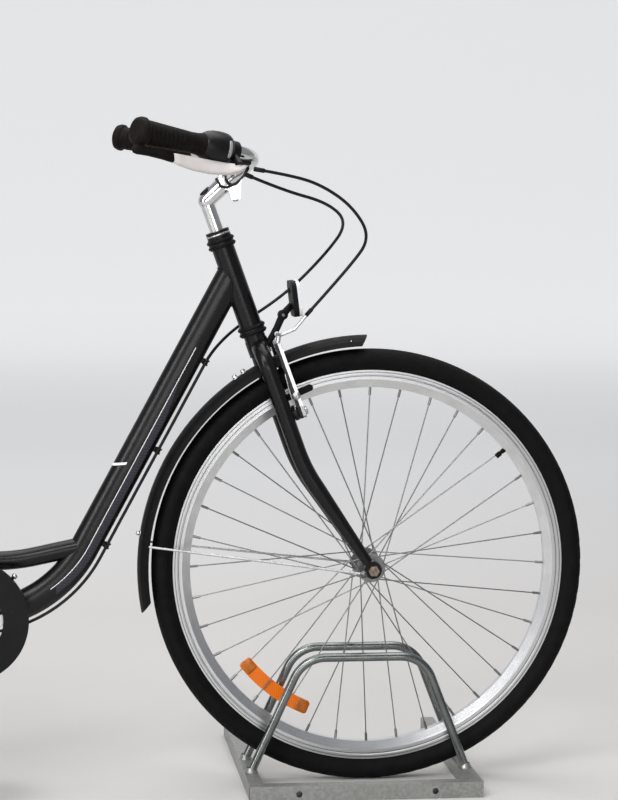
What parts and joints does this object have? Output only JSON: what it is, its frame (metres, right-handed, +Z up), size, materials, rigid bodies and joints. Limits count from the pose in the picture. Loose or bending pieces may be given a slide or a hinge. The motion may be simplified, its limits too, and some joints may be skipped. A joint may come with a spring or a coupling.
{
  "type": "step-through city bicycle in a floor rack",
  "caption": "Step-through city bicycle with swept-back bar, fenders, hub gear and front rim brake, its front wheel held between the bent-tube hoops of a galvanised floor rack.",
  "frame": {"origin": "on the floor under the middle of the whole length and width", "axes": "+X to the bicycle's front, +Y to the rider's left, +Z up"},
  "size_m": [1.822, 0.6328, 1.0569],
  "materials": {
    "frame_paint": "matte black paint",
    "silver_alloy": "polished",
    "steel": "zinc plated",
    "galvanised": "galvanised",
    "tyre": "matte rubber",
    "rubber": "matte",
    "plastic": "moulded black",
    "white_lens": "clear prismatic",
    "orange_lens": "prismatic",
    "red_lens": "prismatic",
    "saddle_cover": "matte cover"
  },
  "bodies": {
    "front_end": {"rack_cross_bar": "galvanised", "rack_side_bars": "galvanised", "rack_hoop_right": "galvanised", "rack_hoop_left": "galvanised", "fork_crown": "frame_paint", "fork_blades": "frame_paint", "headset_locknut": "plastic", "stem": "silver_alloy", "handlebar": "silver_alloy", "grip_right": "rubber", "grip_left": "rubber", "twist_grip": "rubber", "shifter_housing": "plastic", "brake_lever_mount": "plastic", "brake_lever_blade": "plastic", "front_brake_cable": "plastic", "gear_cable_loop": "plastic", "brake_noodle": "silver_alloy", "brake_arms": "silver_alloy", "brake_pads": "rubber", "front_fender": "plastic", "front_fender_stays": "steel", "front_reflector_lens": "white_lens", "front_reflector_back": "plastic", "front_reflector_bracket": "plastic", "front_axle": "steel"},
    "frame": {"head_tube": "frame_paint", "headset_cups": "plastic", "down_tube": "frame_paint", "brace_tube": "frame_paint", "seat_tube": "frame_paint", "bottom_bracket_shell": "frame_paint", "chain_stays": "frame_paint", "seat_stays": "frame_paint", "rear_dropouts": "frame_paint", "seat_clamp": "silver_alloy", "seatpost": "silver_alloy", "saddle_rails": "steel", "saddle": "saddle_cover", "chain_guard": "plastic", "chain": "steel", "rear_fender": "plastic", "rear_fender_stays": "steel", "rear_axle": "steel", "coaster_arm": "steel", "gear_cable_frame": "plastic", "cable_clips": "plastic", "rear_reflector": "red_lens"},
    "front_wheel": {"front_tyre": "tyre", "front_rim": "silver_alloy", "front_hub_spokes": "silver_alloy", "spoke_reflector": "orange_lens"},
    "rear_wheel": {"rear_tyre": "tyre", "rear_rim": "silver_alloy", "rear_hub_spokes": "silver_alloy", "sprocket": "steel"},
    "crankset": {"crankset": "silver_alloy"},
    "pedal_right": {"pedal_right": "plastic"},
    "pedal_left": {"pedal_left": "plastic"}
  },
  "joints": [
    {"name": "steering", "type": "hinge", "parent": "front_end", "child": "frame", "pos_m": [0.34565, 0, 0.79839], "axis": [-0.342, 0, 0.9397], "range_deg": [-60, 60], "deforming": ["gear_cable_loop"]},
    {"name": "front_wheel_spin", "type": "hinge", "parent": "front_end", "child": "front_wheel", "pos_m": [0.561, 0, 0.35], "axis": [0, 1, 0], "continuous": true},
    {"name": "rear_wheel_spin", "type": "hinge", "parent": "frame", "child": "rear_wheel", "pos_m": [-0.539, 0, 0.35], "axis": [0, 1, 0], "continuous": true},
    {"name": "crank_spin", "type": "hinge", "parent": "frame", "child": "crankset", "pos_m": [-0.07963, 0, 0.277], "axis": [0, 1, 0], "continuous": true},
    {"name": "pedal_right_spin", "type": "hinge", "parent": "crankset", "child": "pedal_right", "pos_m": [-0.07963, -0.129, 0.107], "axis": [0, 1, 0], "continuous": true},
    {"name": "pedal_left_spin", "type": "hinge", "parent": "crankset", "child": "pedal_left", "pos_m": [-0.07963, 0.129, 0.447], "axis": [0, 1, 0], "continuous": true}
  ]
}
